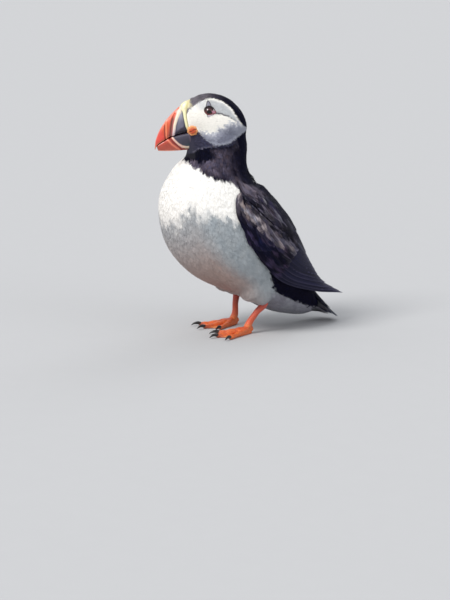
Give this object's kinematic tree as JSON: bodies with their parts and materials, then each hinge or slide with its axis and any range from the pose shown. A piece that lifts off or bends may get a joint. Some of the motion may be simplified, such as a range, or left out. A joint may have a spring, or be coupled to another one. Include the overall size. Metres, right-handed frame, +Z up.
{
  "type": "atlantic puffin",
  "caption": "Standing adult puffin, life size: deep laterally flattened bill, upright stout body, folded wings, short tail and webbed feet, head turned a little aside.",
  "frame": {"origin": "on the ground under the middle of the bird's box, the soles standing on Z = 0", "axes": "+Z up, the trunk faces -Y, the bird's left is +X"},
  "size_m": [0.1058, 0.179, 0.207],
  "materials": {
    "black_feathers": "matt plumage with a faint soft sheen",
    "white_feathers": "matt, soft contour feathers",
    "face_feathers": "matt, very short feathers",
    "bill_sheath": "satin horn, grooved",
    "gape_skin": "wrinkled soft skin",
    "eye": "wet gloss",
    "leg_skin": "scaled skin, satin",
    "claw": "satin horn"
  },
  "bodies": {
    "root": {"head": "face_feathers", "neck": "black_feathers", "trunk": "white_feathers", "tail": "black_feathers", "wing_left": "black_feathers", "wing_right": "black_feathers", "bill_upper": "bill_sheath", "bill_lower": "bill_sheath", "gape_rosette_left": "gape_skin", "gape_rosette_right": "gape_skin", "eye_left": "eye", "eye_right": "eye", "thigh_left": "white_feathers", "thigh_right": "white_feathers", "shank_left": "leg_skin", "shank_right": "leg_skin", "foot_left": "leg_skin", "foot_right": "leg_skin", "claw_inner_left": "claw", "claw_middle_left": "claw", "claw_outer_left": "claw", "claw_inner_right": "claw", "claw_middle_right": "claw", "claw_outer_right": "claw"}
  },
  "joints": []
}
